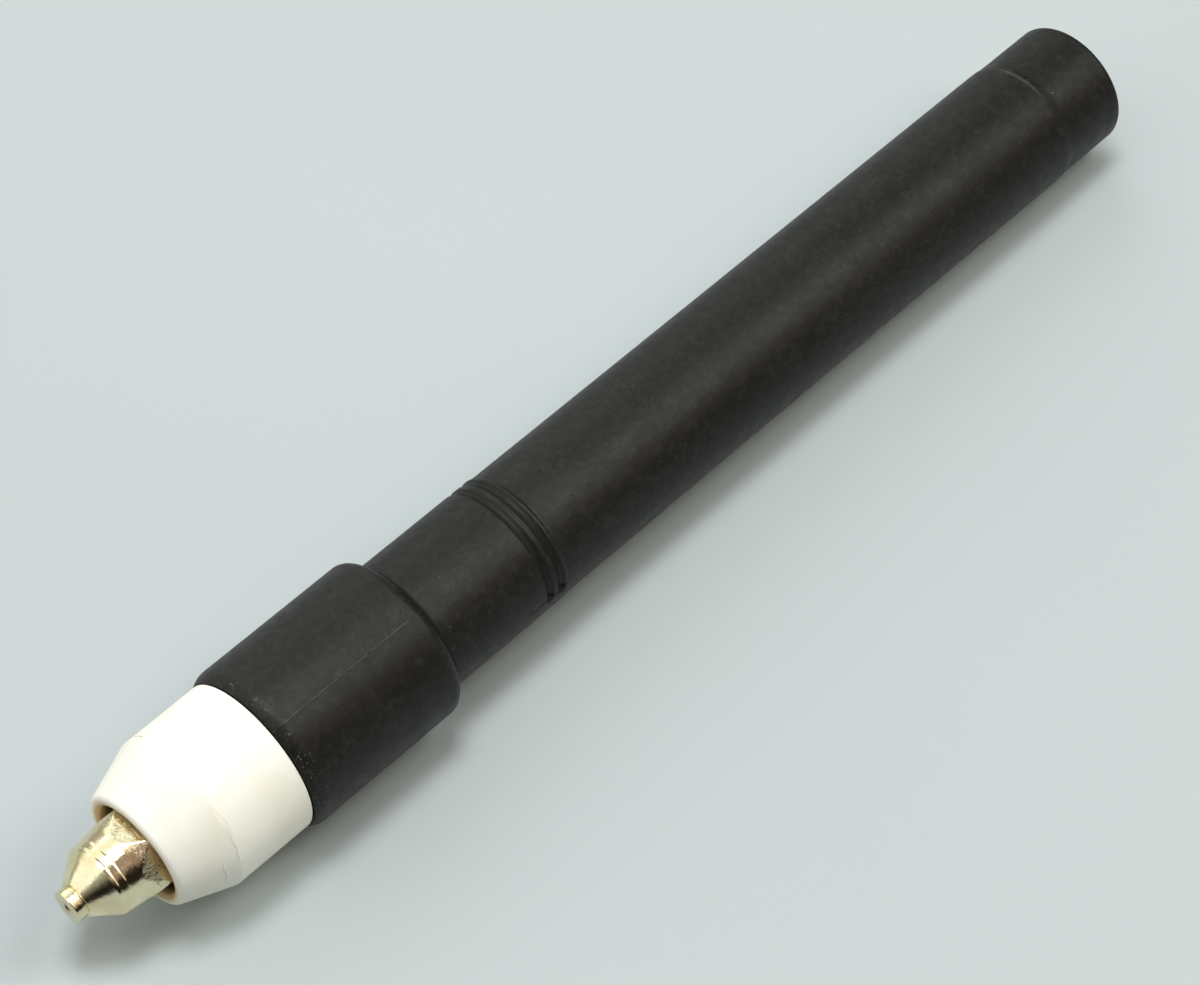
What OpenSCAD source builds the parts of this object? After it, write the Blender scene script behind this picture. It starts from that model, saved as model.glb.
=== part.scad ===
// Straight plasma cutting torch: nozzle, ceramic shield cup, head sleeve and tube handle.
// The torch axis is X. The nozzle points along -X, the cable end along +X, and +Z is up.
// The origin is on the torch axis at the middle of the handle's plain length.
// A "station" is a distance in millimetres behind the nozzle's tip.

/* [Nozzle] */
// Distance from the nozzle's tip back to the mouth of the shield cup
nozzle_reach = 13.7; // [13:0.1:14.5]
// Spanner size across the flats of the nozzle
nozzle_hex = 14.2; // [13.8:0.1:14.4]
// Diameter of the nose boss at the nozzle's tip
nose_d = 5.8; // [5.4:0.1:6.2]
// Diameter of the arc orifice
orifice_d = 1.1; // [0.8:0.1:1.6]
// Diameter of the nozzle's thread
nozzle_thread_d = 13.8; // [13.6:0.1:13.9]
// Turn of the nozzle's flats about the torch axis
hex_turn = 27.6; // [0:0.1:60]

/* [Shield cup] */
// Outer diameter of the ceramic cup
cup_d = 28; // [27.6:0.1:28.2]
// Length of the cup from mouth to rear edge
cup_len = 24.3; // [24:0.1:24.6]
// Diameter of the opening around the nozzle
cup_mouth_d = 17.3; // [16.9:0.1:17.6]
// Diameter of the cup's front edge, where its cone starts
cup_rim_d = 21; // [20.6:0.1:21.4]

/* [Head sleeve] */
// Outer diameter of the sleeve
sleeve_d = 30; // [29.8:0.1:32]
// Length of the sleeve
sleeve_len = 32.1; // [31:0.1:33]
// Radius of the rounding at the sleeve's rear edge
sleeve_rounding = 2; // [1.5:0.1:2.6]
// Turn of the sleeve's mould line about the torch axis, from straight up
mould_line_turn = 24; // [0:1:90]

/* [Handle] */
// Diameter of the handle's neck, behind the sleeve
neck_d = 24.6; // [24.4:0.1:24.8]
// Length of the neck that shows, with its two ring grooves
neck_len = 26.3; // [26:0.1:28]
// Diameter of the plain handle, where a holder clamps it
grip_d = 24.2; // [24:0.1:24.3]
// Length of the plain handle
grip_len = 127.8; // [110:0.1:160]
// Wall thickness of the handle tube
handle_wall = 2; // [1.8:0.1:2.1]

/* [Cable end] */
// Diameter of the handle's slightly smaller end section
end_d = 23.8; // [23.4:0.1:24]
// Length of the end section
end_len = 14.7; // [12:0.1:18]
// Diameter of the cable entry in the rear bush
cable_entry_d = 17.2; // [16:0.1:17.6]

/* [Hidden] */
$fn = 96;

// Overlap that lets a cut pass cleanly through a face
through = 1;
// Running clearance between a thread, slide or seal and its mate, on the radius
running = 0.05;

// Stations of the joints between the outside pieces
cup_front = nozzle_reach;
cup_rear = cup_front + cup_len;
sleeve_rear = cup_rear + sleeve_len;
grip_front = sleeve_rear + neck_len;
end_front = grip_front + grip_len;
torch_rear = end_front + end_len;
origin_station = grip_front + grip_len / 2;

// Nozzle: stations and radii
nose_len = 1.8;
nose_chamfer = 0.2;
cone_start = 2;
cone_start_r = 3.4;
cone_end = 6.06;
cone_end_r = 6.45;
barrel_start = 6.16;
barrel_r = 6.52;
flat_start = 10.5;
corner_start = 14.7;
hex_end = 20.4;
hex_apothem = nozzle_hex / 2;
hex_corner_r = corner_radius(nozzle_hex);
nozzle_thread_r = nozzle_thread_d / 2;
nozzle_rear = 27.6;
ring_stations = [6.86, 8.18];
ring_w = 0.24;
ring_depth = 0.07;
orifice_end = 2.2;
chamber_start = 6.4;
chamber_r = 4.4;
swirl_seat = 23.2;
swirl_seat_r = 5.4;

// Seals: section radius, ring radius and station
nozzle_seal_station = 21.9;
nozzle_seal_floor_r = 5.4;
nozzle_seat_r = nozzle_thread_r + running;
nozzle_seal_r = (nozzle_seat_r - nozzle_seal_floor_r) / 2 - running;
nozzle_seal_ring_r = (nozzle_seat_r + nozzle_seal_floor_r) / 2;
cup_seal_station = 35.4;
head_thread_r = 11;
head_thread_chamfer = 0.4;
cup_seal_floor_r = 11.95;
cup_seal_r = (cup_seal_floor_r - head_thread_r) / 2 - running;
cup_seal_ring_r = (cup_seal_floor_r + head_thread_r) / 2;
groove_slack = 0.1;

// Electrode and the pieces around it
electrode_front = 4.2;
electrode_face_r = 1.5;
electrode_r = 3.4;
electrode_taper_end = 6.8;
electrode_flange_r = 4.6;
electrode_flange_start = 30.6;
electrode_flange_end = 32.6;
electrode_stub_r = 3;
electrode_rear = 39;
emitter_r = 0.8;
emitter_len = 2.6;
swirl_front = 23.6;
swirl_outer_r = swirl_seat_r - running;
swirl_inner_r = 4;
swirl_hole_r = 0.5;
swirl_hole_count = 4;
swirl_hole_station = 29;
swirl_hole_offset = 2.6;

// Head: the metal core, its insulators and the moulding around them
cathode_r = 5.3;
cathode_socket_depth = 8;
cathode_rear = 60;
cathode_spigot_rear = 68;
gas_bore_r = 2;
gas_hole_r = 0.9;
gas_hole_count = 4;
gas_hole_station = 43;
cathode_seal_stations = [49, 55];
cathode_seal_r = 0.5;
seat_front = 21.2;
seat_outer_r = 9;
seat_rear = 50;
insulator_front = 33.2;
insulator_rear = 58.5;
gas_annulus_r = 5.9;
gas_annulus_end = 46;
moulding_front = 23.6;
flange_gap = 0.35;
flange_front = cup_rear + flange_gap;
flange_rear = 40.4;
flange_r = 13.55;
handle_front = 50;
moulding_rear = 84;
moulding_bore_r = nozzle_thread_r + running;

// Handle tube
neck_r = neck_d / 2;
grip_r = grip_d / 2;
end_r = end_d / 2;
end_taper = 0.9;
end_rounding = 1.5;
handle_bore_r = grip_r - handle_wall;
spigot_r = handle_bore_r - running;
groove_pitch = 2.63;
groove_w = 1.6;
groove_depth = 0.5;
groove_lead = 5;
groove_front = grip_front - groove_lead;
grip_chamfer = 0.3;
plain_strip_turn = 116;
plain_strip_w = 10.4;
seam_w = 0.25;
seam_depth = 0.25;
seam_len = 8.4;
seam_lead = 4.3;

// Screws that hold the handle tube on the head moulding
screw_r = 1.5;
screw_count = 3;
screw_station = 53.2;
screw_turn = 60;
screw_tip_r = 8.6;
screw_sink = 0.3;
screw_head_r = neck_r - screw_sink;
screw_hex = 1.5;
screw_hex_depth = 1.4;

// Head sleeve
sleeve_r = sleeve_d / 2;
sleeve_gap = 0.2;
sleeve_front = cup_rear + sleeve_gap;
sleeve_bore_r = neck_r + running;
pocket_play = 0.15;
sleeve_pocket_r = flange_r + pocket_play;
pocket_slack = 0.4;
sleeve_pocket_end = flange_rear + pocket_slack;
sleeve_front_arc_r = 3.4;
sleeve_front_arc_len = 2.3;
sleeve_mouth_chamfer = 0.35;
mould_line_w = 0.28;
mould_line_h = 0.07;

// Gas tube, its insulation and spacers
tube_bore_r = 3;
tube_r = 4;
tube_rear = 194;
insulation_r = 4.4;
insulation_front = 69;
insulation_rear = 186;
spacer_stations = [112, 168];
spacer_len = 5;
spacer_vent_r = 1.3;
spacer_vent_turns = [60, 120, 240, 300];

// Gas connector at the cable end
connector_barrel_r = 5.2;
connector_barrel_front = 187;
connector_hex = 13;
connector_hex_front = 196;
connector_hex_rear = 204;
connector_thread_r = 5;
connector_rear = 216;
connector_bore_r = 2.4;
connector_chamfer = 0.6;

// Pilot arc lead, which runs beside the gas tube
lead_offset = 8;
lead_turn = 0;
lug_r = 1;
lug_rear = 56;
lead_r = 0.9;
lead_rear = 193;
terminal_r = 1.4;
terminal_rear = 207;
terminal_tip_len = 1.2;
lead_channel_r = 1.04;

// Rear bush, pressed into the cable end
bush_front = 219;
bush_recess = 0.6;
bush_rear = torch_rear - bush_recess;
bush_chamfer = 0.5;
cable_entry_r = cable_entry_d / 2;

// Cup: lip, cone and bore
cup_lip_len = 1.1;
cup_cone_end = cup_front + 9.45;
cup_mouth_len = 6.8;
cup_bore_r = 12.4;
cup_bore_start = 24.2;
cup_rim_round = 0.8;
insert_inset = 0.2;
insert_front = cup_bore_start + insert_inset;
insert_recess = 0.4;
insert_rear = cup_rear - insert_recess;

// The radius to the corners of a hexagon of the given width across its flats.
function corner_radius(flats) = flats / 2 / cos(30);

// Places its children at a station, with their +Z along the torch axis.
module on_axis(station) {
    translate([station - origin_station, 0, 0])
        rotate([0, 90, 0])
            children();
}

// A body turned about the torch axis from a half profile of [radius, station] points.
module turned(profile) {
    on_axis(0)
        rotate_extrude()
            polygon(profile);
}

// A plain tube between two stations.
module pipe(outer_r, inner_r, front, rear) {
    on_axis(front)
        difference() {
            cylinder(r = outer_r, h = rear - front);
            translate([0, 0, -through])
                cylinder(r = inner_r, h = rear - front + 2 * through);
        }
}

// A straight hole or rod between two stations.
module rod(radius, front, rear) {
    on_axis(front)
        cylinder(r = radius, h = rear - front);
}

// A ring seal: ring_r is the radius of the ring, section_r that of its round section.
module o_ring(ring_r, section_r, station) {
    on_axis(station)
        rotate_extrude()
            translate([ring_r, 0])
                circle(r = section_r);
}

// Turns its children about the torch axis, away from straight up towards -Y.
module turned_from_top(angle) {
    rotate([angle, 0, 0])
        children();
}

// The half profile left after rounding one outer edge. The edge is at edge_r and edge_station,
// and back is 1 where the material lies behind the edge, or -1 where it lies ahead of it.
module edge_cut(edge_r, edge_station, arc_r, arc_len, back) {
    translate([edge_r - arc_r, edge_station + back * arc_len])
        difference() {
            translate([0, back > 0 ? -arc_len - through : 0])
                square([arc_r + through, arc_len + through]);
            circle(r = arc_r);
        }
}

// ---- Nozzle and electrode ----

module nozzle() {
    color("palegoldenrod")
        difference() {
            union() {
                intersection() {
                    turned([
                        [0, 0], [nose_d / 2 - nose_chamfer, 0], [nose_d / 2, nose_chamfer],
                        [nose_d / 2, nose_len], [cone_start_r, cone_start],
                        [cone_end_r, cone_end], [barrel_r, barrel_start],
                        [hex_apothem, flat_start], [hex_corner_r, corner_start],
                        [hex_corner_r, hex_end], [0, hex_end]
                    ]);
                    on_axis(-through)
                        rotate([0, 0, hex_turn])
                            cylinder(r = hex_corner_r, h = hex_end + 2 * through, $fn = 6);
                }
                rod(nozzle_thread_r, hex_end - through, nozzle_rear);
            }
            nozzle_bore();
            for (station = ring_stations)
                nozzle_ring_groove(station);
            pipe(nozzle_thread_r + through, nozzle_seal_floor_r,
                nozzle_seal_station - nozzle_seal_r - groove_slack,
                nozzle_seal_station + nozzle_seal_r + groove_slack);
        }
}

// Arc orifice, tapered plenum, chamber and the seat of the swirl ring.
module nozzle_bore() {
    turned([
        [0, -through], [orifice_d / 2, -through], [orifice_d / 2, orifice_end],
        [chamber_r, chamber_start], [chamber_r, swirl_seat], [swirl_seat_r, swirl_seat],
        [swirl_seat_r, nozzle_rear + through], [0, nozzle_rear + through]
    ]);
}

// A fine turned line around the nozzle's barrel.
module nozzle_ring_groove(station) {
    local_r = barrel_r + (hex_apothem - barrel_r) * (station - cone_end) / (flat_start - cone_end);
    turned([
        [local_r - ring_depth, station], [local_r + through, station - ring_w],
        [local_r + through, station + ring_w]
    ]);
}

module nozzle_seal() {
    color("firebrick")
        o_ring(nozzle_seal_ring_r, nozzle_seal_r, nozzle_seal_station);
}

module electrode() {
    color("peru")
        difference() {
            turned([
                [0, electrode_front], [electrode_face_r, electrode_front],
                [electrode_r, electrode_taper_end], [electrode_r, electrode_flange_start],
                [electrode_flange_r, electrode_flange_start],
                [electrode_flange_r, electrode_flange_end],
                [electrode_stub_r, electrode_flange_end], [electrode_stub_r, electrode_rear],
                [0, electrode_rear]
            ]);
            rod(emitter_r, electrode_front - through, electrode_front + emitter_len);
        }
}

module emitter() {
    color("dimgray")
        rod(emitter_r, electrode_front, electrode_front + emitter_len);
}

// Four slanted holes make the gas swirl around the electrode.
module swirl_ring() {
    color("sienna")
        difference() {
            pipe(swirl_outer_r, swirl_inner_r, swirl_front, electrode_flange_start);
            for (hole = [1:swirl_hole_count])
                on_axis(swirl_hole_station)
                    rotate([0, 0, hole * 360 / swirl_hole_count])
                        translate([0, swirl_hole_offset, 0])
                            rotate([0, 90, 0])
                                cylinder(r = swirl_hole_r, h = swirl_outer_r + through);
        }
}

// ---- Shield cup ----

module shield_cup() {
    color("ivory")
        difference() {
            on_axis(0)
                rotate_extrude()
                    difference() {
                        polygon([
                            [0, cup_front], [cup_rim_d / 2, cup_front],
                            [cup_rim_d / 2, cup_front + cup_lip_len], [cup_d / 2, cup_cone_end],
                            [cup_d / 2, cup_rear], [0, cup_rear]
                        ]);
                        edge_cut(cup_rim_d / 2, cup_front, cup_lip_len, cup_lip_len, 1);
                    }
            cup_cavity();
        }
}

// Opening around the nozzle with a rounded lip, then a cone out to the bore of the insert.
module cup_cavity() {
    on_axis(0)
        rotate_extrude()
            difference() {
                polygon([
                    [0, cup_front - through], [cup_mouth_d / 2 + cup_rim_round, cup_front - through],
                    [cup_mouth_d / 2 + cup_rim_round, cup_front + cup_rim_round],
                    [cup_mouth_d / 2, cup_front + cup_rim_round],
                    [cup_mouth_d / 2, cup_front + cup_mouth_len],
                    [cup_bore_r, cup_bore_start], [cup_bore_r, cup_rear + through],
                    [0, cup_rear + through]
                ]);
                translate([cup_mouth_d / 2 + cup_rim_round, cup_front + cup_rim_round])
                    circle(r = cup_rim_round);
            }
}

// Threaded brass insert in the cup, with a groove for the cup's seal.
module cup_insert() {
    color("goldenrod")
        difference() {
            pipe(cup_bore_r, head_thread_r + running, insert_front, insert_rear);
            pipe(cup_seal_floor_r, head_thread_r - through,
                cup_seal_station - cup_seal_r - groove_slack,
                cup_seal_station + cup_seal_r + groove_slack);
        }
}

module cup_seal() {
    color("black")
        o_ring(cup_seal_ring_r, cup_seal_r, cup_seal_station);
}

// ---- Head ----

// Brass ring that carries the nozzle and the pilot arc's current.
module nozzle_seat() {
    color("goldenrod")
        pipe(seat_outer_r, nozzle_seat_r, seat_front, seat_rear);
}

module cathode_body() {
    color("darkgoldenrod")
        difference() {
            union() {
                rod(cathode_r, electrode_flange_end, cathode_rear);
                rod(tube_bore_r, cathode_rear - through, cathode_spigot_rear);
            }
            rod(electrode_stub_r, electrode_flange_end - through,
                electrode_flange_end + cathode_socket_depth);
            rod(gas_bore_r, electrode_flange_end, cathode_spigot_rear + through);
            for (hole = [1:gas_hole_count])
                on_axis(gas_hole_station)
                    rotate([0, 90, hole * 360 / gas_hole_count])
                        cylinder(r = gas_hole_r, h = cathode_r + through);
            for (station = cathode_seal_stations)
                pipe(cathode_r + through, cathode_r - 2 * cathode_seal_r,
                    station - cathode_seal_r - groove_slack, station + cathode_seal_r + groove_slack);
        }
}

module cathode_seals() {
    color("firebrick")
        for (station = cathode_seal_stations)
            o_ring(cathode_r - cathode_seal_r, cathode_seal_r, station);
}

// Sleeve between the cathode body and the nozzle seat, with a wider gas passage at its front.
module inner_insulator() {
    color("burlywood")
        difference() {
            pipe(nozzle_seat_r, cathode_r, insulator_front, insulator_rear);
            rod(gas_annulus_r, insulator_front - through, gas_annulus_end);
        }
}

// Moulded head: cup thread, flange behind the cup, and the spigot inside the handle tube.
module head_moulding() {
    color("saddlebrown")
        difference() {
            turned([
                [0, moulding_front], [head_thread_r - head_thread_chamfer, moulding_front],
                [head_thread_r, moulding_front + head_thread_chamfer], [head_thread_r, flange_front],
                [flange_r, flange_front], [flange_r, flange_rear], [neck_r, flange_rear],
                [neck_r, handle_front], [spigot_r, handle_front], [spigot_r, moulding_rear],
                [0, moulding_rear]
            ]);
            rod(seat_outer_r, moulding_front - through, seat_rear);
            rod(moulding_bore_r, seat_rear - through, moulding_rear + through);
            lead_line()
                rod(lead_channel_r, seat_rear, moulding_rear + through);
            for (screw = [1:screw_count])
                screw_line(screw)
                    cylinder(r = screw_r, h = neck_r);
        }
}

// ---- Sleeve and handle ----

// Push-on sleeve, with the fine raised lines that its mould's joint leaves on both sides.
module head_sleeve() {
    color([0.13, 0.13, 0.13])
        union() {
            sleeve_shell(0);
            for (side = [0, 180])
                intersection() {
                    sleeve_shell(mould_line_h);
                    turned_from_top(mould_line_turn + side)
                        translate([cup_rear - origin_station, -mould_line_w / 2, sleeve_bore_r + through])
                            cube([sleeve_len, mould_line_w, sleeve_r]);
                }
        }
}

// The sleeve's body, rounded at both ends, with a pocket over the head's flange.
module sleeve_shell(grow) {
    outer_r = sleeve_r + grow;
    on_axis(0)
        rotate_extrude()
            difference() {
                polygon([
                    [sleeve_pocket_r, sleeve_front], [outer_r, sleeve_front], [outer_r, sleeve_rear],
                    [sleeve_bore_r + sleeve_mouth_chamfer, sleeve_rear],
                    [sleeve_bore_r, sleeve_rear - sleeve_mouth_chamfer],
                    [sleeve_bore_r, sleeve_pocket_end], [sleeve_pocket_r, sleeve_pocket_end]
                ]);
                edge_cut(outer_r, sleeve_front, sleeve_front_arc_r + grow, sleeve_front_arc_len, 1);
                edge_cut(outer_r, sleeve_rear, sleeve_rounding + grow, sleeve_rounding, -1);
            }
}

module handle_tube() {
    color([0.12, 0.12, 0.12])
        difference() {
            on_axis(0)
                rotate_extrude()
                    difference() {
                        polygon([
                            [handle_bore_r, handle_front], [neck_r, handle_front],
                            [neck_r, grip_front - grip_chamfer], [grip_r, grip_front],
                            [grip_r, end_front], [end_r, end_front + end_taper],
                            [end_r, torch_rear], [handle_bore_r, torch_rear]
                        ]);
                        edge_cut(end_r, torch_rear, end_rounding, end_rounding, -1);
                    }
            for (step = [0, 1])
                ring_groove(groove_front + step * groove_pitch + groove_w / 2);
            groove_seam();
            for (screw = [1:screw_count])
                screw_line(screw)
                    cylinder(r = screw_r, h = neck_r + through);
        }
}

// A round-bottomed groove around the neck that stops at a plain strip.
module ring_groove(station) {
    arc_r = (pow(groove_w / 2, 2) + pow(groove_depth, 2)) / (2 * groove_depth);
    difference() {
        o_ring(neck_r - groove_depth + arc_r, arc_r, station);
        turned_from_top(plain_strip_turn)
            translate([station - origin_station - groove_pitch, -plain_strip_w / 2, 0])
                cube([2 * groove_pitch, plain_strip_w, neck_r + through]);
    }
}

// The fine cut line along each edge of the plain strip.
module groove_seam() {
    half_turn = asin(plain_strip_w / 2 / neck_r);
    for (side = [-1, 1])
        turned_from_top(plain_strip_turn + side * half_turn)
            translate([groove_front - seam_lead - origin_station, -seam_w / 2, neck_r - seam_depth])
                cube([seam_len, seam_w, seam_depth + through]);
}

// Places its children at a screw's place, with +Z outwards from the torch axis.
module screw_line(number) {
    translate([screw_station - origin_station, 0, 0])
        rotate([screw_turn + number * 360 / screw_count, 0, 0])
            children();
}

// Three set screws under the sleeve.
module handle_screws() {
    color("silver")
        for (screw = [1:screw_count])
            screw_line(screw)
                translate([0, 0, screw_tip_r])
                    difference() {
                        cylinder(r = screw_r, h = screw_head_r - screw_tip_r);
                        translate([0, 0, screw_head_r - screw_tip_r - screw_hex_depth])
                            cylinder(r = corner_radius(screw_hex), h = screw_hex_depth + through, $fn = 6);
                    }
}

// Bush inside the cable end, which the cable passes through.
module rear_bush() {
    color([0.16, 0.16, 0.16])
        difference() {
            turned([
                [0, bush_front], [spigot_r - bush_chamfer, bush_front],
                [spigot_r, bush_front + bush_chamfer], [spigot_r, bush_rear], [0, bush_rear]
            ]);
            rod(cable_entry_r, bush_front - through, bush_rear + through);
        }
}

// ---- Gas line ----

module gas_tube() {
    color("darkgoldenrod")
        pipe(tube_r, tube_bore_r, cathode_rear, tube_rear);
}

module tube_insulation() {
    color("dimgray")
        pipe(insulation_r, tube_r, insulation_front, insulation_rear);
}

// Two discs that centre the gas tube and carry the pilot lead.
module tube_spacers() {
    color("whitesmoke")
        for (station = spacer_stations)
            difference() {
                pipe(spigot_r, insulation_r, station, station + spacer_len);
                lead_line()
                    rod(lead_r, station - through, station + spacer_len + through);
                for (turn = spacer_vent_turns)
                    turned_from_top(turn)
                        translate([0, 0, (spigot_r + insulation_r) / 2])
                            rod(spacer_vent_r, station - through, station + spacer_len + through);
            }
}

// Barrel on the gas tube, spanner flats and the thread for the cable's union nut.
module gas_connector() {
    color("goldenrod")
        difference() {
            union() {
                rod(connector_barrel_r, connector_barrel_front, connector_hex_front + through);
                on_axis(connector_hex_front)
                    rotate([0, 0, 30])
                        cylinder(r = corner_radius(connector_hex), $fn = 6,
                            h = connector_hex_rear - connector_hex_front);
                turned([
                    [0, connector_hex_rear - through], [connector_thread_r, connector_hex_rear - through],
                    [connector_thread_r, connector_rear - connector_chamfer],
                    [connector_thread_r - connector_chamfer, connector_rear], [0, connector_rear]
                ]);
            }
            rod(tube_r, connector_barrel_front - through, tube_rear);
            rod(connector_bore_r, tube_rear - through, connector_rear + through);
        }
}

// ---- Pilot arc lead ----

// Moves its children from the torch axis to the pilot lead's line.
module lead_line() {
    turned_from_top(lead_turn)
        translate([0, 0, lead_offset])
            children();
}

module pilot_lug() {
    color("goldenrod")
        lead_line()
            rod(lug_r, seat_rear, lug_rear);
}

module pilot_wire() {
    color("crimson")
        lead_line()
            rod(lead_r, lug_rear, lead_rear);
}

// Bullet terminal for the cable's pilot lead.
module pilot_terminal() {
    color("gold")
        lead_line()
            turned([
                [0, lead_rear], [terminal_r, lead_rear], [terminal_r, terminal_rear - terminal_tip_len],
                [terminal_r / 2, terminal_rear], [0, terminal_rear]
            ]);
}

nozzle();
nozzle_seal();
electrode();
emitter();
swirl_ring();
shield_cup();
cup_insert();
cup_seal();
nozzle_seat();
cathode_body();
cathode_seals();
inner_insulator();
head_moulding();
head_sleeve();
handle_tube();
handle_screws();
rear_bush();
gas_tube();
tube_insulation();
tube_spacers();
gas_connector();
pilot_lug();
pilot_wire();
pilot_terminal();
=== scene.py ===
"""Straight plasma cutting torch on a pale table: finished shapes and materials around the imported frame.

The torch axis is X, and the nozzle points along -X. A station is a distance in millimetres behind the
nozzle's tip, and a radius is in millimetres. A turn is an angle in degrees about the axis, from straight
up towards -Y.
"""

import math

import bmesh
import bpy
from mathutils import Matrix, Vector


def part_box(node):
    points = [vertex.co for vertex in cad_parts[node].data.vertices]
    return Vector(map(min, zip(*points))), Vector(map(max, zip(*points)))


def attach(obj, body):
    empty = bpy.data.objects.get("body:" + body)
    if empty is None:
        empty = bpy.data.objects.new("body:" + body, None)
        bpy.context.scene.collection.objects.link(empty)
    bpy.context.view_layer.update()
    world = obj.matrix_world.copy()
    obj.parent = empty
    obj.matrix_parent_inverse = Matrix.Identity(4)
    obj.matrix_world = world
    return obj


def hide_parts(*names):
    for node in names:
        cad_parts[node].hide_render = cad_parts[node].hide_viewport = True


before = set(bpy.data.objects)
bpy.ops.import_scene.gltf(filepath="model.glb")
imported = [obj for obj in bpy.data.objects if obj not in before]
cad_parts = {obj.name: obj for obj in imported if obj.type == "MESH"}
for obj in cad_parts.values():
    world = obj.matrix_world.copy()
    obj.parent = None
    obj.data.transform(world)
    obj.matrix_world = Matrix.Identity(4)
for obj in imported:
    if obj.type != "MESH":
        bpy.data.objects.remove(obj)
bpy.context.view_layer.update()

MM = 0.001


# ---- Places along the torch ----

def front_of(node):
    """Station of a node's front end."""
    return (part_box(node)[0].x - tip_x) / MM


def rear_of(node):
    """Station of a node's rear end."""
    return (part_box(node)[1].x - tip_x) / MM


def outer_of(node):
    """Largest radius of a node about the torch axis."""
    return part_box(node)[1].y / MM


tip_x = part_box("nozzle")[0].x
cup_front = front_of("shield_cup")
cup_rear = rear_of("shield_cup")
sleeve_front = front_of("head_sleeve")
sleeve_rear = rear_of("head_sleeve")
torch_rear = rear_of("handle_tube")
cup_r = outer_of("shield_cup")
neck_r = outer_of("handle_tube")

# Sizes and places that no node's box gives.
mouth_r = 8.65
insert_r = 12.4
cup_pitch = 2
sleeve_r = 15.0
grip_r = 12.1
end_r = 11.9
hex_front = 10.5
handle_front = 50
grip_front = 96.4
end_front = 224.2
groove_front = 91.4
groove_pitch = 2.63
groove_w = 1.6
groove_count = 2
groove_end_turn = 91.5
seam_front = 87.1
hex_turn = 27.6
mould_turn = 24


def spot(station, radius, turn):
    """The point at a station, a radius and a turn."""
    angle = math.radians(turn)
    return Vector((tip_x + station * MM, -radius * math.sin(angle) * MM, radius * math.cos(angle) * MM))


# ---- Turned pieces ----

def rounded(corners, sweep=15):
    """A closed outline through corners, each (station, radius, rounding), with its corners rounded to arcs.

    An arc takes up just under half of a run at most, and has a point at least every sweep degrees.
    """
    straight = math.radians(89)
    most_of_run = 0.48
    points = []
    for number, (station, radius, rounding) in enumerate(corners):
        here = Vector((station, radius))
        before = Vector(corners[number - 1][:2]) - here
        after = Vector(corners[(number + 1) % len(corners)][:2]) - here
        half = before.angle(after) / 2
        if rounding == 0 or half > straight:
            points.append(here)
            continue
        reach = min(rounding / math.tan(half), most_of_run * before.length, most_of_run * after.length)
        arc_r = reach * math.tan(half)
        middle = here + (before.normalized() + after.normalized()).normalized() * arc_r / math.sin(half)
        start = here + before.normalized() * reach - middle
        end = here + after.normalized() * reach - middle
        steps = max(2, math.ceil((math.pi - 2 * half) / math.radians(sweep)))
        for step in range(steps + 1):
            points.append(middle + start.slerp(end, step / steps) * arc_r)
    return points


def filled(points, spacing, hold=0.12):
    """The outline with points added along its straight runs: one close to each end, and the rest evenly."""
    dense = []
    for number, here in enumerate(points):
        after = points[(number + 1) % len(points)]
        run = (after - here).length
        dense.append(here)
        if run < 3 * hold:
            continue
        gap = spacing((here + after) / 2) if callable(spacing) else spacing
        steps = max(1, round((run - 2 * hold) / gap))
        for step in range(steps + 1):
            dense.append(here.lerp(after, (hold + (run - 2 * hold) * step / steps) / run))
    return dense


def columns(count, fine=()):
    """Turns of a piece's columns: evenly spaced, and closer at fine, each (turn, half width, steps)."""
    turns = [360 * number / count for number in range(count)]
    for middle, half, steps in fine:
        turns = [turn for turn in turns if abs(wrapped(turn, middle)) > half * 1.2]
        turns += [(middle - half + 2 * half * step / steps) % 360 for step in range(steps + 1)]
    return sorted(turns)


def spin(name, points, turns, shape=None):
    """A solid turned from a closed outline. shape(station, radius, turn) gives a point's finished radius."""
    made = bmesh.new()
    rings = []
    for turn in turns:
        ring = []
        for station, radius in points:
            finished = shape(station, radius, turn) if shape else radius
            ring.append(made.verts.new(spot(station, finished, turn)))
        rings.append(ring)
    for ring, following in zip(rings, rings[1:] + rings[:1]):
        for number in range(len(points)):
            after = (number + 1) % len(points)
            made.faces.new((ring[number], following[number], following[after], ring[after]))
    bmesh.ops.remove_doubles(made, verts=made.verts, dist=1e-7)
    bmesh.ops.recalc_face_normals(made, faces=made.faces)
    mesh = bpy.data.meshes.new(name)
    made.to_mesh(mesh)
    made.free()
    mesh.shade_smooth()
    piece = bpy.data.objects.new(name, mesh)
    bpy.context.scene.collection.objects.link(piece)
    return piece


def drilled(piece, holes):
    """Cuts radial or axial round holes, each (start, end, radius), through a piece."""
    cutters = []
    for start, end, radius in holes:
        cutter_mesh = bmesh.new()
        run = end - start
        place = Matrix.Translation((start + end) / 2) @ run.to_track_quat("Z", "Y").to_matrix().to_4x4()
        bmesh.ops.create_cone(cutter_mesh, cap_ends=True, segments=32, radius1=radius * MM,
                              radius2=radius * MM, depth=run.length, matrix=place)
        mesh = bpy.data.meshes.new("cutter")
        cutter_mesh.to_mesh(mesh)
        cutter_mesh.free()
        cutter = bpy.data.objects.new("cutter", mesh)
        bpy.context.scene.collection.objects.link(cutter)
        cut = piece.modifiers.new("hole", "BOOLEAN")
        cut.operation = "DIFFERENCE"
        cut.solver = "EXACT"
        cut.object = cutter
        cutters.append(cutter)
    bpy.context.view_layer.update()
    evaluated = piece.evaluated_get(bpy.context.evaluated_depsgraph_get())
    finished = bpy.data.meshes.new_from_object(evaluated)
    piece.modifiers.clear()
    piece.data = finished
    finished.name = piece.name
    for cutter in cutters:
        bpy.data.objects.remove(cutter)
    return piece


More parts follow.
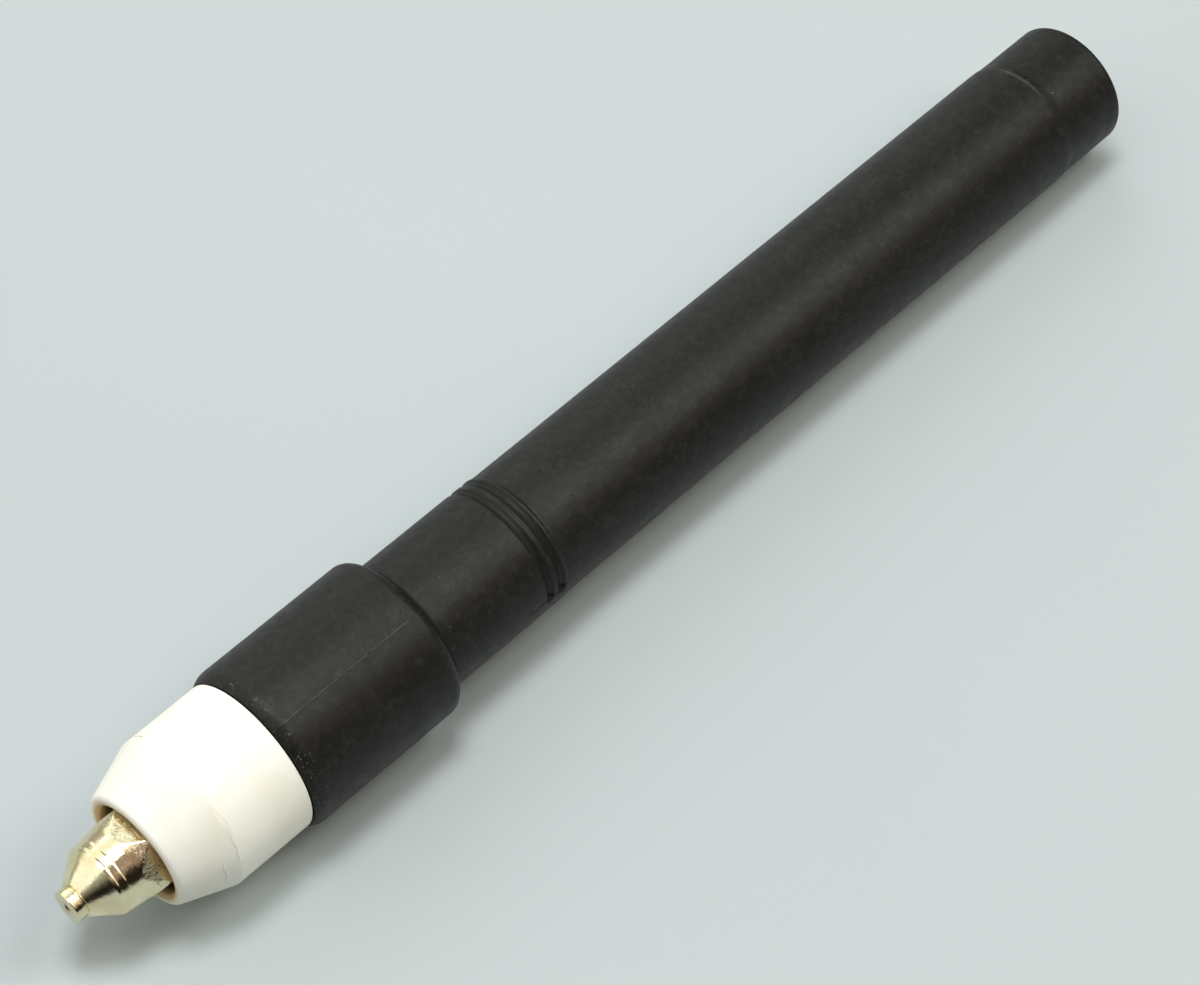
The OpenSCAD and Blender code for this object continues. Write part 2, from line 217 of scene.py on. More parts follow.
def soft_min(a, b, blend):
    """The smaller of two values, with the crease between them rounded over about blend."""
    near = max(blend - abs(a - b), 0) / blend
    return min(a, b) - near * near * blend / 4


def hexagon(apothem, turn, corner_turn):
    """Radius of a hexagon at a turn, with one of its corners at corner_turn."""
    from_flat = (turn - corner_turn) % 60 - 30
    return apothem / math.cos(math.radians(from_flat))


def thread(station, turn, pitch, depth, front, rear):
    """How far a right-handed thread's groove goes in at a place, fading out at both ends."""
    steepness, crest = 3.4, 0.35
    phase = (station / pitch - turn / 360) % 1
    groove = min(max((0.5 - abs(phase - 0.5)) * steepness - crest, 0), 1)
    fade = min(max((station - front) / pitch, 0), 1) * min(max((rear - station) / pitch, 0), 1)
    return depth * groove * fade


def wrapped(turn, middle):
    """Turn from a middle turn, from -180 to 180."""
    return (turn - middle + 180) % 360 - 180


# ---- Materials ----

class Finish:
    """One material, built node by node. Positions are in metres in the piece's own frame at rest."""

    def __init__(self, name):
        self.material = bpy.data.materials.new(name)
        self.material.use_nodes = True
        self.tree = self.material.node_tree
        self.tree.nodes.clear()
        output = self.tree.nodes.new("ShaderNodeOutputMaterial")
        self.shader = self.tree.nodes.new("ShaderNodeBsdfPrincipled")
        self.tree.links.new(self.shader.outputs["BSDF"], output.inputs["Surface"])
        coordinates = self.tree.nodes.new("ShaderNodeTexCoord")
        self.place = coordinates.outputs["Object"]
        apart = self.node("ShaderNodeSeparateXYZ", {0: self.place})
        self.x, self.y, self.z = apart.outputs
        self.heights = []

    def node(self, kind, inputs=None, **settings):
        made = self.tree.nodes.new(kind)
        for key, value in settings.items():
            setattr(made, key, value)
        for key, value in (inputs or {}).items():
            if isinstance(value, bpy.types.NodeSocket):
                self.tree.links.new(value, made.inputs[key])
            else:
                made.inputs[key].default_value = value
        return made

    def math(self, operation, *values):
        return self.node("ShaderNodeMath", dict(enumerate(values)), operation=operation).outputs[0]

    def times(self, first, second):
        return self.math("MULTIPLY", first, second)

    def ramp(self, value, low, high, low_to=0.0, high_to=1.0):
        """value from low to high becomes low_to to high_to, smoothly and no further."""
        made = self.node("ShaderNodeMapRange", {0: value, 1: low, 2: high, 3: low_to, 4: high_to},
                         interpolation_type="SMOOTHSTEP")
        return made.outputs[0]

    def band(self, value, low, high, soft):
        """1 where value lies between low and high, with soft edges."""
        return self.times(self.ramp(value, low - soft, low + soft),
                         self.ramp(value, high - soft, high + soft, 1.0, 0.0))

    def mix(self, factor, first, second):
        made = self.node("ShaderNodeMix", data_type="RGBA")
        for socket, value in zip([made.inputs[0], made.inputs[6], made.inputs[7]], [factor, first, second]):
            if isinstance(value, bpy.types.NodeSocket):
                self.tree.links.new(value, socket)
            else:
                socket.default_value = value
        return made.outputs[2]

    def tinted(self, color, mask, share, tone):
        """The colour with a share of a tone, as it shows on a screen, where mask is 1."""
        return self.mix(self.times(mask, share), color, display(*tone))

    def blend(self, factor, first, second):
        """A number between two numbers."""
        return self.math("ADD", self.times(factor, self.math("SUBTRACT", second, first)), first)

    def stretched(self, x=1.0, y=1.0, z=1.0, turn=(0, 0, 0)):
        """The place with features made x, y and z times as long, along axes turned by turn."""
        angles = [math.radians(a) for a in turn]
        made = self.node("ShaderNodeMapping", {0: self.place}, vector_type="TEXTURE")
        made.inputs["Rotation"].default_value = angles
        made.inputs["Scale"].default_value = (x, y, z)
        return made.outputs[0]

    def noise(self, size, detail=3.0, roughness=0.55, vector=None):
        """Noise from 0 to 1, with features of about size, in millimetres."""
        made = self.node("ShaderNodeTexNoise", {"Vector": vector or self.place, "Scale": 1 / (size * MM),
                                                "Detail": detail, "Roughness": roughness})
        return made.outputs[0]

    def specks(self, size, spread, share):
        """Small dots of about size, one to each cell of spread, in millimetres, in a share of the cells."""
        cells = self.node("ShaderNodeTexVoronoi", {"Vector": self.place, "Scale": 1 / (spread * MM)})
        dot = self.ramp(cells.outputs["Distance"], 0.35 * size / spread, 0.6 * size / spread, 1.0, 0.0)
        chosen = self.node("ShaderNodeSeparateColor", {0: cells.outputs["Color"]}).outputs[0]
        return self.times(dot, self.math("LESS_THAN", chosen, share))

    def scratches(self, width, length, turn, share):
        """Fine straight scratches about length long, turned by turn, over a share of the surface."""
        stretch = 20
        along = self.stretched(stretch, 1, 1, turn)
        lines = self.noise(length / stretch, 2.0, 0.5, along)
        thin = self.ramp(self.math("ABSOLUTE", self.math("SUBTRACT", lines, 0.5)), 0.0, width, 1.0, 0.0)
        here = self.ramp(self.noise(length * 1.5, 1.0), 0.62 - 0.2 * share, 0.7 - 0.2 * share)
        return self.times(thin, here)

    def radius(self):
        return self.math("SQRT", self.math("ADD", self.times(self.y, self.y),
                                           self.times(self.z, self.z)))

    def station(self):
        """Station in millimetres."""
        return self.times(self.math("SUBTRACT", self.x, tip_x), 1 / MM)

    def near(self, point, size):
        """1 close to a point, falling to 0 at size millimetres from it."""
        away = self.node("ShaderNodeVectorMath", {0: self.place, 1: point}, operation="DISTANCE")
        return self.ramp(away.outputs["Value"], 0.35 * size * MM, size * MM, 1.0, 0.0)

    def stroke(self, point, size, width):
        """A thin wavy mark around the torch through a point, fading out at size millimetres from it."""
        swing = 0.22 * size * MM
        wavy = self.math("ADD", self.x, self.times(self.noise(size * 0.5, 3, 0.6), swing))
        offset = self.math("SUBTRACT", wavy, point.x + swing / 2)
        return self.times(self.ramp(self.math("ABSOLUTE", offset), 0.0, width * MM, 1.0, 0.0),
                         self.near(point, size))

    def relief(self, height, depth):
        """Adds a height from 0 to 1 to the bump, depth millimetres high."""
        self.heights.append(self.times(height, depth))

    def finish(self, color, roughness, **constants):
        for key, value in {"Base Color": color, "Roughness": roughness}.items():
            if isinstance(value, bpy.types.NodeSocket):
                self.tree.links.new(value, self.shader.inputs[key])
            else:
                self.shader.inputs[key].default_value = value
        for key, value in constants.items():
            self.shader.inputs[key.replace("_", " ")].default_value = value
        if self.heights:
            total = self.heights[0]
            for height in self.heights[1:]:
                total = self.math("ADD", total, height)
            bump = self.node("ShaderNodeBump", {"Height": total, "Distance": MM, "Strength": 1.0})
            self.tree.links.new(bump.outputs[0], self.shader.inputs["Normal"])
        return self.material


def display(red, green, blue):
    """A colour given as it shows on a screen, from 0 to 255, as a linear colour."""
    linear = [c / 255 / 12.92 if c <= 10 else ((c / 255 + 0.055) / 1.055) ** 2.4 for c in (red, green, blue)]
    return (*linear, 1.0)


def wear(piece_or_node, material):
    """Gives a piece or a CAD node its material in every slot."""
    slots = piece_or_node.material_slots
    if not slots:
        piece_or_node.data.materials.append(material)
    for slot in slots:
        slot.material = material


def black_plastic(name, tone, on_sleeve=False):
    """Satin black moulded plastic: mottled grain, faint scratches, dust, the sleeve's scuffs and mould lines,
    and the handle's painted shade and painted highlight.
    """
    f = Finish(name)
    mottle = f.noise(1.5, 5, 0.68)
    grain = f.noise(0.3, 4, 0.65)
    color = f.mix(f.ramp(f.noise(11, 3), 0.35, 0.65), display(*tone), display(*[c + 4 for c in tone]))
    color = f.tinted(color, f.ramp(mottle, 0.45, 0.7), 0.45, (43, 42, 38))
    color = f.tinted(color, f.ramp(grain, 0.55, 0.8), 0.4, (66, 64, 59))
    marks = f.math("MAXIMUM", f.scratches(0.012, 9, (0, 0, 24), 0.6),
                   f.scratches(0.010, 6, (0, 30, -38), 0.5))
    color = f.tinted(color, marks, 0.13, (118, 114, 107))
    dust = f.math("MAXIMUM", f.specks(0.2, 1.9, 0.12), f.specks(0.34, 4.1, 0.12))
    color = f.tinted(color, dust, 0.35, (150, 146, 136))
    roughness = f.blend(f.ramp(f.noise(2.4, 4, 0.65), 0.3, 0.7), 0.43, 0.52)
    if on_sleeve:
        color = sleeve_marks(f, color)
    else:
        # The handle gets painted shade in its grooves and behind the sleeve, and a painted highlight at its
        # end step.
        color, roughness = handle_painted_light(f, color, roughness)
    f.relief(grain, 0.02)
    f.relief(mottle, 0.045)
    f.relief(f.noise(9, 2), 0.03)
    f.relief(marks, -0.012)
    return f.finish(color, roughness, Specular_IOR_Level=0.26, Specular_Tint=(0.98, 1.0, 0.95, 1.0))


def sleeve_marks(f, color):
    """Powdery scuffs at the sleeve's front edge, and the lighter mould lines on both sides."""
    edge = f.band(f.station(), sleeve_front - 0.4, sleeve_front + 2.6, 1.6)
    powder = f.ramp(f.noise(0.42, 5, 0.8), 0.56, 0.68)
    patch = f.ramp(f.noise(3.2, 2), 0.46, 0.6)
    color = f.tinted(color, f.times(f.times(edge, powder), patch), 0.65, (158, 155, 147))
    turn = math.radians(mould_turn)
    aside = f.math("ABSOLUTE", f.math("ADD", f.times(f.y, math.cos(turn)), f.times(f.z, math.sin(turn))))
    line = f.times(f.ramp(aside, 0.03 * MM, 0.13 * MM, 1.0, 0.0), f.ramp(f.noise(2.2, 3), 0.35, 0.65))
    return f.tinted(color, line, 0.36, (108, 107, 100))


def handle_painted_light(f, color, roughness):
    """Painted shade in the groove floors, at the groove ends and on the neck behind the sleeve, and a painted
    highlight at the end's step.
    """
    station = f.station()
    # Painted shade: the deepest part of each groove floor, spots at the groove ends and a ring on the neck
    # just behind the sleeve are darkened and made rougher.
    painted_shade = f.times(f.ramp(f.radius(), (neck_r - 0.43) * MM, (neck_r - 0.49) * MM),
                    f.band(station, seam_front - 0.1, grip_front - 0.2, 0.3))
    painted_shade = f.math("MAXIMUM", f.times(painted_shade, 0.7),
                   f.band(station, sleeve_rear - 0.8, sleeve_rear + 0.9, 0.35))
    for number in range(groove_count):
        middle = groove_front + groove_w / 2 + number * groove_pitch
        groove_end = spot(middle, neck_r - 0.3, groove_end_turn)
        painted_shade = f.math("MAXIMUM", painted_shade, f.times(f.near(groove_end, 1.5), 0.9))
    color = f.tinted(color, painted_shade, 0.9, (4, 4, 3))
    roughness = f.math("ADD", roughness, f.times(painted_shade, 0.35))
    # Painted highlight: a lighter line along the top of the end section's step.
    painted_highlight = f.times(f.band(station, end_front - 0.5, end_front, 0.35),
                     f.near(spot(end_front - 0.2, grip_r, -4), 7))
    return f.tinted(color, painted_highlight, 0.3, (112, 110, 102)), roughness


def cup_ceramic():
    """White ceramic: heat tint and soot at the mouth, a few thin wavy marks, specks and faint smudges."""
    f = Finish("cup_ceramic")
    station = f.station()
    radius = f.radius()
    color = f.mix(f.ramp(f.noise(9, 3), 0.35, 0.7), display(252, 251, 240), display(248, 245, 229))
    inside = f.times(f.ramp(radius, (mouth_r + 1.25) * MM, (mouth_r + 0.15) * MM),
                     f.ramp(station, cup_front + 12, cup_front, 0.3, 1.0))
    color = f.tinted(color, inside, 0.7, (218, 180, 118))
    soot = f.times(f.ramp(radius, (mouth_r + 0.35) * MM, (mouth_r + 0.03) * MM),
                   f.ramp(station, cup_front + 0.5, cup_front + 2.4))
    color = f.tinted(color, soot, 0.9, (98, 77, 50))
    rim = f.times(f.band(radius, (mouth_r + 0.2) * MM, (mouth_r + 0.6) * MM, 0.2 * MM),
                  f.ramp(station, cup_front + 1.4, cup_front + 0.6))
    color = f.tinted(color, rim, 0.8, (202, 164, 102))
    ragged = f.math("ADD", station, f.times(f.noise(2.5, 4, 0.6), 1.6))
    burnt = f.ramp(ragged, cup_front + 2.6, cup_front + 0.9)
    burnt = f.times(burnt, f.ramp(radius, (mouth_r + 1.85) * MM, (mouth_r + 0.55) * MM))
    color = f.tinted(color, burnt, 0.5, (226, 192, 132))
    for place, size, width, strength, mark in (
        (spot(cup_front + 9.7, cup_r, 36), 10, 0.22, 0.24, (188, 162, 118)),
        (spot(cup_front + 9.5, cup_r, 66), 5, 0.16, 0.4, (178, 146, 100)),
        (spot(cup_front + 6.9, 12.9, 88), 3.4, 0.13, 0.45, (170, 142, 100)),
        (spot(cup_front + 16, cup_r, 205), 9, 0.15, 0.4, (178, 146, 100)),
        (spot(cup_front + 10.9, cup_r, -46), 2.4, 0.13, 0.9, (66, 60, 54)),
    ):
        color = f.tinted(color, f.stroke(place, size, width), strength, mark)
    color = f.tinted(color, f.specks(0.22, 4.4, 0.08), 0.4, (160, 140, 112))
    smudge = f.times(f.ramp(f.noise(0.5, 4, 0.7), 0.5, 0.66), f.ramp(f.noise(5.5, 2), 0.6, 0.7))
    color = f.tinted(color, smudge, 0.16, (196, 186, 160))
    f.relief(f.noise(0.25, 4, 0.6), 0.008)
    f.relief(f.noise(3, 2), 0.02)
    roughness = f.blend(f.ramp(f.noise(4, 3), 0.3, 0.7), 0.38, 0.5)
    return f.finish(color, roughness, Specular_IOR_Level=0.45)


def metal(name, base, warm, roughness_low, roughness_high, rings):
    """Turned metal: fine turning rings, warmer patches, duller patches and small pits."""
    f = Finish(name)
    patches = f.ramp(f.noise(2.6, 4, 0.6), 0.35, 0.7)
    color = f.mix(patches, display(*base), display(*warm))
    film = f.ramp(f.noise(1.1, 5, 0.7), 0.5, 0.72)
    turned = f.noise(0.12, 3, 0.6, f.stretched(1, 50, 50))
    roughness = f.blend(film, roughness_low, roughness_high)
    f.relief(turned, rings)
    f.relief(f.noise(0.7, 4, 0.6), 0.01)
    f.relief(f.specks(0.14, 0.9, 0.25), -0.006)
    return f.finish(color, roughness, Metallic=1.0)


def nozzle_plating():
    """Pale yellow plating, turned on the cone and milled on the flats: stains, pits and chatter marks."""
    f = Finish("nozzle_plating")
    station = f.station()
    cloud = f.ramp(f.noise(3.2, 4, 0.6), 0.35, 0.68)
    color = f.mix(cloud, display(233, 228, 194), display(224, 213, 168))
    rosy = f.ramp(f.noise(4.5, 3, 0.5, f.stretched(1, 1, 1, (50, 0, 30))), 0.48, 0.66)
    color = f.tinted(color, rosy, 0.3, (222, 200, 186))
    stain = f.ramp(f.noise(0.9, 5, 0.75), 0.56, 0.72)
    color = f.tinted(color, stain, 0.3, (186, 172, 140))
    hexagonal = f.ramp(station, hex_front - 0.9, hex_front + 0.7)
    turned = f.times(f.noise(0.1, 3, 0.6, f.stretched(1, 60, 60)), f.math("SUBTRACT", 1.2, hexagonal))
    near_cup = f.band(station, hex_front + 1.1, hex_front + 4.7, 0.9)
    pits = f.times(f.ramp(f.noise(0.34, 4, 0.75), 0.52, 0.7), near_cup)
    color = f.tinted(color, pits, 0.35, (250, 247, 236))
    chatter = f.node("ShaderNodeTexWave", {"Vector": f.stretched(1, 1, 1, (0, 0, 38)), "Scale": 620.0,
                                           "Distortion": 7.0, "Detail": 2.0, "Detail Scale": 1.6},
                     wave_type="BANDS", bands_direction="X").outputs[1]
    where = f.times(near_cup, f.ramp(f.noise(3.1, 1), 0.5, 0.58))
    chatter = f.times(chatter, where)
    color = f.tinted(color, chatter, 0.65, (118, 106, 82))
    face = f.ramp(station, 0.35, 0.1)
    burn = f.times(f.near(spot(0, 0, 0), 2.2), f.ramp(f.noise(0.8, 4, 0.7), 0.35, 0.6))
    color = f.tinted(color, burn, 0.6, (138, 112, 98))
    spokes = f.noise(0.5, 3, 0.7, f.stretched(6, 1, 1))
    f.relief(turned, 0.009)
    f.relief(f.noise(0.55, 4, 0.65), 0.02)
    f.relief(f.noise(2.2, 2), 0.03)
    f.relief(pits, 0.035)
    f.relief(chatter, -0.02)
    f.relief(f.times(face, spokes), 0.03)
    roughness = f.math("ADD", f.blend(cloud, 0.1, 0.16), f.times(f.math("MAXIMUM", stain, pits), 0.14))
    return f.finish(color, roughness, Metallic=1.0)


def resin(name, base, mottled, size=1.5, middle=0.55):
    """Machined or moulded resin with a mottled colour and fine tool lines."""
    f = Finish(name)
    color = f.mix(f.ramp(f.noise(size, 4, 0.65), 0.3, 0.7), display(*base), display(*mottled))
    color = f.tinted(color, f.specks(0.2, 1.4, 0.2), 0.4, [c * 0.6 for c in base])
    lines = f.noise(0.25, 2, 0.5, f.stretched(1, 20, 20))
    f.relief(lines, 0.01)
    f.relief(f.noise(0.4, 3), 0.01)
    roughness = f.blend(f.noise(2, 2), middle - 0.08, middle + 0.08)
    return f.finish(color, roughness, Specular_IOR_Level=0.4)


def rubber(name, base, bloom):
    """Soft rubber with a dusty bloom."""
    f = Finish(name)
    color = f.mix(f.ramp(f.noise(1.2, 4, 0.6), 0.4, 0.75), display(*base), display(*bloom))
    f.relief(f.noise(0.2, 3), 0.006)
    roughness = f.blend(f.noise(1.5, 2), 0.5, 0.68)
    return f.finish(color, roughness, Specular_IOR_Level=0.35)


# ---- Visible pieces ----

def nozzle_piece():
    """Plated nozzle: nose with the arc orifice, cone, two turned rings, hexagon, seal groove and thread."""
    orifice_r, orifice_rear, chamber_r, chamber_front = 0.55, 2.2, 4.4, 6.4
    nose_r, nose_rear, nose_groove_r, nose_groove_rear = 2.9, 1.5, 2.82, 1.85
    cone_front, cone_front_r, cone_rear, cone_rear_r = 2, 3.4, 6.06, 6.45
    ring_front, ring_rear, ring_half = 6.86, 8.18, 0.24
    apothem, corner_r, hex_full, hex_rear = 7.1, 8.2, 14.7, 20.4
    seal_r, seal_front, seal_rear = 5.4, 21.27, 22.53
    counterbore, thread_r, rear = 23.2, 6.9, 27.6
    corners = [
        (0, orifice_r, 0.12), (orifice_rear, orifice_r, 0), (chamber_front, chamber_r, 0.2),
        (counterbore, chamber_r, 0.1), (counterbore, seal_r, 0.1), (rear, seal_r, 0.2),
        (rear, thread_r, 0.35), (seal_rear, thread_r, 0.08), (seal_rear, seal_r, 0.1),
        (seal_front, seal_r, 0.1), (seal_front, thread_r, 0.08), (hex_rear, thread_r, 0.1),
        (hex_rear, corner_r, 0.25),
        (hex_full, corner_r, 0.3), (hex_front, apothem, 0.6), (ring_rear + ring_half, 6.82, 0),
        (ring_rear, 6.74, 0.02), (ring_rear - ring_half, 6.76, 0), (ring_front + ring_half, 6.65, 0),
        (ring_front, 6.55, 0.02), (ring_front - ring_half, 6.58, 0),
        (cone_rear + 0.1, cone_rear_r + 0.07, 0.03), (cone_rear, cone_rear_r, 0.03),
        (cone_front, cone_front_r, 0.12),
        (nose_groove_rear, nose_groove_r, 0.05), (nose_rear + 0.1, nose_groove_r, 0.05),
        (nose_rear, nose_r, 0.04), (0, nose_r, 0.25),
    ]

    def shape(station, radius, turn):
        if radius > apothem - 1.1 and hex_front - 1.5 < station < hex_rear + 0.1:
            return soft_min(radius, hexagon(apothem, turn, hex_turn), 0.07)
        if radius > thread_r - 0.4 and station > seal_rear:
            return radius - thread(station, turn, 1.5, 0.75, seal_rear + 0.07, rear + 0.3)
        return radius

    def spacing(middle):
        return 0.12 if middle.y > thread_r - 0.4 and middle.x > hex_front - 0.5 else 0.5

    piece = spin("nozzle_plated", filled(rounded(corners), spacing, 0.05), columns(300), shape)
    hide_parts("nozzle")
    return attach(piece, "nozzle_body")


def cup_piece():
    """White ceramic cup with its rounded lip, soft shoulder and inner cone."""
    lip_r, cone_len, inner_cone_len, socket_front = 10.5, 9.45, 6.8, 24.2
    corners = [
        (cup_front, mouth_r, 0.8), (cup_front, lip_r, 1.1), (cup_front + cone_len, cup_r, 0.7),
        (cup_rear, cup_r, 0.35), (cup_rear, insert_r, 0.3), (socket_front, insert_r, 0.2),
        (cup_front + inner_cone_len, mouth_r, 0.5),
    ]
    piece = spin("cup_ceramic", filled(rounded(corners, 10), 0.8, 0.2), columns(192))
    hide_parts("shield_cup")
    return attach(piece, "cup_body")


def insert_piece():
    """Brass insert in the cup with its seal groove and its thread, half a pitch on from the moulding's."""
    front, rear, bore_r = 24.4, 37.6, 11.05
    groove_r, seal_front, seal_rear = 11.95, 34.87, 35.93
    corners = [
        (front, bore_r, 0.3), (front, insert_r, 0.1), (rear, insert_r, 0.1), (rear, bore_r, 0.3),
        (seal_rear, bore_r, 0.05), (seal_rear, groove_r, 0.1), (seal_front, groove_r, 0.1),
        (seal_front, bore_r, 0.05),
    ]

    def shape(station, radius, turn):
        if radius < bore_r + 0.15 and station < seal_front - 0.07:
            shifted = station + cup_pitch / 2
            return radius + thread(shifted, turn, cup_pitch, 0.75, front + 0.8, seal_front + 0.33)
        return radius

    piece = spin("cup_thread_insert", filled(rounded(corners), 0.2, 0.1), columns(144), shape)
    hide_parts("cup_insert")
    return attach(piece, "cup_body")


def sleeve_piece():
    """Head sleeve with rounded ends and the fine raised mould lines on both sides."""
    front_arc, front_run, rear_arc = 3.4, 2.3, 2.0
    bore_r, pocket_r, pocket_end, mouth_edge_r = 12.35, 13.7, 40.8, 13.0
    ridge_w, ridge_h = 0.13, 0.03
    front_fade, rear_fade, rear_plain = 0.8, 1.5, 0.6
    lines = (mould_turn, mould_turn + 180)
    arc_steps = 8
    steps = range(arc_steps + 1)
    points = [Vector((sleeve_front, pocket_r))]
    for run in (front_run * (1 - step / arc_steps) for step in steps):
        rise = math.sqrt(front_arc ** 2 - run ** 2)
        points.append(Vector((sleeve_front + front_run - run, sleeve_r - front_arc + rise)))
    for angle in (math.pi / 2 * step / arc_steps for step in steps):
        turned = Vector((math.sin(angle), math.cos(angle))) * rear_arc
        points.append(Vector((sleeve_rear - rear_arc, sleeve_r - rear_arc)) + turned)
    points += [Vector(corner) for corner in (
        (sleeve_rear - 0.12, mouth_edge_r - 0.1), (sleeve_rear - 1.1, bore_r + 0.12),
        (sleeve_rear - 1.4, bore_r), (pocket_end, bore_r), (pocket_end, pocket_r))]

    def shape(station, radius, turn):
        if radius < pocket_r + 0.05:
            return radius
        aside = [wrapped(turn, line) * math.radians(sleeve_r) for line in lines]
        ridge = max(math.exp(-(across / ridge_w) ** 2) for across in aside)
        front_share = min((station - sleeve_front) / front_fade, 1)
        rear_share = min(max((sleeve_rear - rear_plain - station) / rear_fade, 0), 1)
        return radius + ridge_h * ridge * max(front_share * rear_share, 0)

    turns = columns(180, [(line, 1.6, 12) for line in lines])
    piece = spin("sleeve_black", filled(points, 1.0, 0.2), turns, shape)
    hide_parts("head_sleeve")
    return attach(piece, "sleeve_body")


def handle_piece():
    """Handle tube: neck, two grooves that stop at a plain strip, seams along the strip, grip and end section.

    A groove's front wall is steeper than its rear wall.
    """
    bore_r, outside = 10.1, 11.5
    groove_depth, lean = 0.5, 0.6
    strip_turn, strip_w, strip_soft = 116, 10.4, 0.5
    seam_rear, seam_half, seam_depth, seam_fade = 95.5, 0.1375, 0.25, 0.4
    strip_half = math.degrees(math.asin(strip_w / 2 / neck_r))
    arc_r = ((groove_w / 2) ** 2 + groove_depth ** 2) / (2 * groove_depth)
    corners = [
        (handle_front, bore_r, 0.2), (handle_front, neck_r, 0.3), (seam_front - 0.3, neck_r, 0),
        (grip_front - 0.3, neck_r, 0.2), (grip_front, grip_r, 0.2), (end_front - 0.5, grip_r, 6),
        (end_front + 1.3, end_r, 6), (torch_rear, end_r, 1.5), (torch_rear, bore_r, 0.3),
    ]

    def shape(station, radius, turn):
        if radius < outside:
            return radius
        off_strip = abs(wrapped(turn, strip_turn)) - strip_half
        for number in range(groove_count):
            along = (station - groove_front - number * groove_pitch) / groove_w
            if 0 < along < 1 and off_strip > -strip_soft:
                across = groove_w * (along ** lean - 0.5)
                floor = neck_r - groove_depth + arc_r - math.sqrt(max(arc_r ** 2 - across ** 2, 0))
                share = min(max(off_strip / strip_soft + 0.5, 0), 1)
                radius += share * (soft_min(radius, floor, 0.04) - radius)
        if seam_front < station < seam_rear:
            reach = min(station - seam_front, seam_rear - station, seam_fade) / seam_fade
            across = off_strip * math.radians(neck_r)
            radius -= seam_depth * reach * math.exp(-(across / seam_half) ** 4)
        return radius

    def spacing(middle):
        if middle.y < outside:
            return 6.0
        return 0.09 if seam_front < middle.x < grip_front else 2.0

    seams = [(strip_turn + side * strip_half, 2.0, 20) for side in (-1, 1)]
    points = filled(rounded(corners, 12), spacing, 0.2)
    piece = spin("handle_black", points, columns(168, seams), shape)
    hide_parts("handle_tube")
    drilled(piece, screw_holes(neck_r + 1))
    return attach(piece, "torch_body")


def screw_holes(outer):
    """The three radial holes of the handle's set screws, from inside the spigot out to a radius."""
    inner, hole_r = 7.4, 1.5
    station = (front_of("handle_screws") + rear_of("handle_screws")) / 2
    return [(spot(station, inner, turn), spot(station, outer, turn), hole_r) for turn in (60, 180, 300)]


def moulding_piece():
    """Phenolic head moulding with the cup's thread, flange, neck and the spigot inside the handle."""
    socket_r, bore_r, thread_r, flange_r, spigot_r = 9, 6.95, 11, 13.55, 10.05
    front, flange_front, flange_rear, spigot_rear = 23.6, 38.35, 40.4, 84
    lead_at, lead_r = 8, 1.04
    corners = [
        (front, socket_r, 0.1), (front, thread_r, 0.4), (flange_front, thread_r, 0.1),
        (flange_front, flange_r, 0.3), (flange_rear, flange_r, 0.3), (flange_rear, neck_r, 0.1),
        (handle_front, neck_r, 0.3), (handle_front, spigot_r, 0.1), (spigot_rear, spigot_r, 0.3),
        (spigot_rear, bore_r, 0.3), (handle_front, bore_r, 0.1), (handle_front, socket_r, 0.1),
    ]

    def on_thread(radius):
        return thread_r - 0.5 < radius < thread_r + 0.2

    def shape(station, radius, turn):
        if on_thread(radius) and station < flange_front - 0.15:
            return radius - thread(station, turn, cup_pitch, 0.8, front - 0.2, flange_front - 0.75)
        return radius

    def spacing(middle):
        return 0.2 if on_thread(middle.y) else 2.0

    piece = spin("head_phenolic", filled(rounded(corners), spacing, 0.1), columns(144), shape)
    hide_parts("head_moulding")
    lead = (spot(handle_front, lead_at, 0), spot(spigot_rear + 2, lead_at, 0), lead_r)
    drilled(piece, [lead] + screw_holes(neck_r + 1))
    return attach(piece, "torch_body")


def bush_piece():
    """Bush in the cable end, with a flared cable entry."""
    front, rear = front_of("rear_bush"), rear_of("rear_bush")
    bore_r, bush_r = 8.6, 10.05
    corners = [(front, bore_r, 0.4), (front, bush_r, 0.5), (rear, bush_r, 0.15), (rear, bore_r, 0.7)]
    piece = spin("bush_black", filled(rounded(corners), 1.5, 0.1), columns(120))
    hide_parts("rear_bush")
    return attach(piece, "torch_body")


def connector_piece():
    """Brass gas connector: barrel, spanner flats and the thread of the cable's union nut."""
    socket_r, barrel_r, corner_r, thread_r, bore_r = 4, 5.2, 7.5, 5, 2.4
    front, socket_rear, flats_front, flats_rear, rear = 187, 194, 196, 204, 216
    apothem, corner_turn = 6.5, 30
    corners = [
        (front, socket_r, 0.2), (front, barrel_r, 0.3), (flats_front, barrel_r, 0.1),
        (flats_front, corner_r, 0.4), (flats_rear, corner_r, 0.4), (flats_rear, thread_r, 0.1),
        (rear, thread_r, 0.6), (rear, bore_r, 0.5), (socket_rear, bore_r, 0.1), (socket_rear, socket_r, 0.1),
    ]

    def shape(station, radius, turn):
        if radius > barrel_r + 0.8:
            return soft_min(radius, hexagon(apothem, turn, corner_turn), 0.1)
        if radius > thread_r - 0.5 and station > flats_rear + 0.2:
            return radius - thread(station, turn, 1, 0.6, flats_rear + 0.4, rear + 0.4)
        return radius

    def spacing(middle):
        return 0.12 if middle.x > flats_rear and middle.y > thread_r - 0.5 else 0.4

    piece = spin("connector_brass", filled(rounded(corners), spacing, 0.08), columns(144), shape)
    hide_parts("gas_connector")
    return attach(piece, "torch_body")


# ---- Materials on every piece and CAD node ----

brass = metal("brass", (222, 190, 118), (205, 166, 92), 0.22, 0.42, 0.003)
copper = metal("copper", (214, 150, 112), (190, 120, 84), 0.25, 0.45, 0.003)
steel = metal("steel", (192, 192, 194), (170, 168, 166), 0.25, 0.4, 0.002)
hafnium = metal("hafnium", (140, 140, 144), (120, 118, 118), 0.35, 0.5, 0.002)

